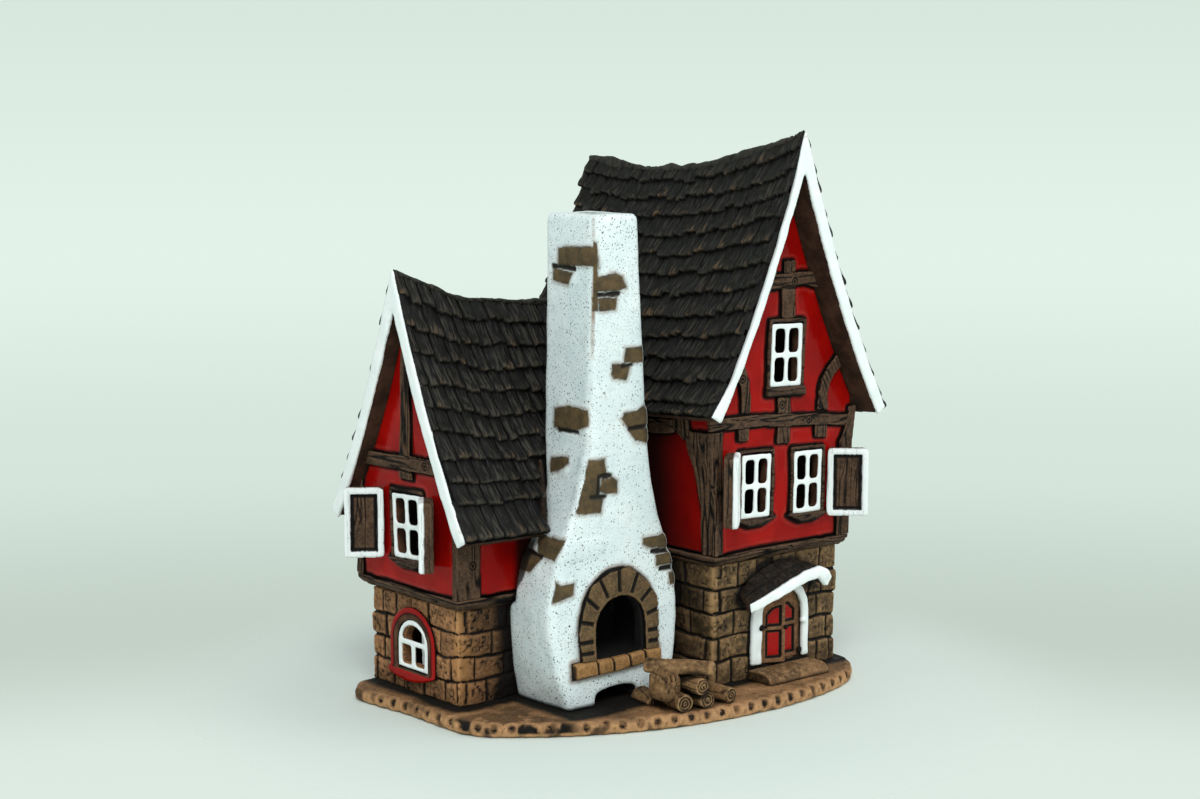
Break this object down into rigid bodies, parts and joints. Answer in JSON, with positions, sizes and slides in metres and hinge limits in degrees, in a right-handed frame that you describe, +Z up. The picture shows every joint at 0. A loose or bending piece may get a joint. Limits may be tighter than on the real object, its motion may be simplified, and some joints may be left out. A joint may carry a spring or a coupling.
{
  "type": "ceramic incense house",
  "caption": "Hand-built ceramic incense house: low and tall half-timbered wings in an L with swayback tiled roofs, and a whitewashed chimney with an arched hearth between them.",
  "frame": {"origin": "centre of the bounding box's footprint, on the base's underside", "axes": "+Z up; the tall wing's gable faces -Y, the low wing's gable faces -X, the plain backs face +Y and +X"},
  "size_m": [0.1826, 0.133, 0.2088],
  "materials": {
    "red_glaze": "high gloss, thick transparent red",
    "white_glaze": "gloss, thick opaque white",
    "whitewash": "satin, pale blue-white with iron specks",
    "timber_clay": "matt, incised grain rubbed with dark oxide",
    "stone_clay": "matt, stamped and rubbed with dark oxide",
    "brick_clay": "matt",
    "tile_clay": "matt, combed, smoke black",
    "terracotta": "matt, smoke stained"
  },
  "bodies": {
    "root": {"base_plate": "terracotta", "chimney_stack": "whitewash", "cottage_arch_frame": "white_glaze", "cottage_arch_surround": "red_glaze", "cottage_collar_beam": "timber_clay", "cottage_far_post": "timber_clay", "cottage_far_shutter": "timber_clay", "cottage_near_post": "timber_clay", "cottage_near_shutter": "timber_clay", "cottage_plaster_walls": "red_glaze", "cottage_roof_far": "tile_clay", "cottage_roof_near": "tile_clay", "cottage_sill_beams": "timber_clay", "cottage_stone_walls": "stone_clay", "cottage_verge_trim": "white_glaze", "cottage_window_casing": "timber_clay", "cottage_window_frame": "white_glaze", "door_hood": "tile_clay", "door_hood_edge": "white_glaze", "door_leaf_left": "red_glaze", "door_leaf_right": "red_glaze", "door_surround": "white_glaze", "doorstep": "timber_clay", "hearth_arch": "brick_clay", "hearth_sill": "brick_clay", "log_front": "timber_clay", "log_middle": "timber_clay", "log_right": "timber_clay", "log_split_left": "timber_clay", "log_split_top": "timber_clay", "log_split_upper": "timber_clay", "log_upper": "timber_clay", "tower_attic_window_casing": "timber_clay", "tower_attic_window_frame": "white_glaze", "tower_collar_beam": "timber_clay", "tower_flank_plate": "timber_clay", "tower_left_brace": "timber_clay", "tower_left_post": "timber_clay", "tower_left_shutter": "timber_clay", "tower_left_window_casing": "timber_clay", "tower_left_window_frame": "white_glaze", "tower_plaster_walls": "red_glaze", "tower_right_brace": "timber_clay", "tower_right_post": "timber_clay", "tower_right_shutter": "timber_clay", "tower_right_window_casing": "timber_clay", "tower_right_window_frame": "white_glaze", "tower_roof_left": "tile_clay", "tower_roof_right": "tile_clay", "tower_sill_beams": "timber_clay", "tower_stone_walls": "stone_clay", "tower_tie_beam": "timber_clay", "tower_verge_trim": "white_glaze"}
  },
  "joints": []
}
